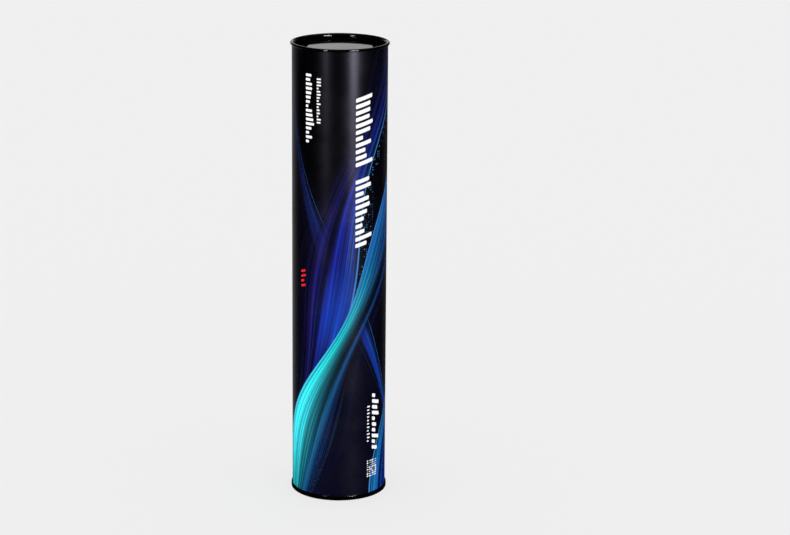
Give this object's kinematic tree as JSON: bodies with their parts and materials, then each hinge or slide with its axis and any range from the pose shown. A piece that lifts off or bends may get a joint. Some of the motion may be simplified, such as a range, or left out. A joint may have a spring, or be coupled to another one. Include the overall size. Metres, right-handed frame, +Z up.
{
  "type": "cylindrical gift tube box",
  "caption": "Tall round gift tube box: a wound paperboard tube with a printed wrap, a crimped black metal bottom end and a lift-off black metal plug lid with a curled rim.",
  "frame": {"origin": "middle of the tube's foot, on the surface it stands on", "axes": "+Z up along the tube to the lid, -Y towards the front, +Y towards the wrap's glued seam"},
  "size_m": [0.0672, 0.0672, 0.317],
  "materials": {
    "black_lacquered_tinplate": "gloss",
    "printed_paper": "satin",
    "tube_board": "matte",
    "white_liner_paper": "matte"
  },
  "bodies": {
    "tube": {"inner_liner": "white_liner_paper", "board_ply_inner": "tube_board", "board_ply_second": "tube_board", "board_ply_third": "tube_board", "board_ply_outer": "tube_board", "printed_wrap": "printed_paper", "bottom_end": "black_lacquered_tinplate"},
    "lid": {"lid": "black_lacquered_tinplate"}
  },
  "joints": [
    {"name": "lid_lift", "type": "slide", "parent": "tube", "child": "lid", "axis": [0, 0, 1], "range_m": [0, 0.06]}
  ]
}
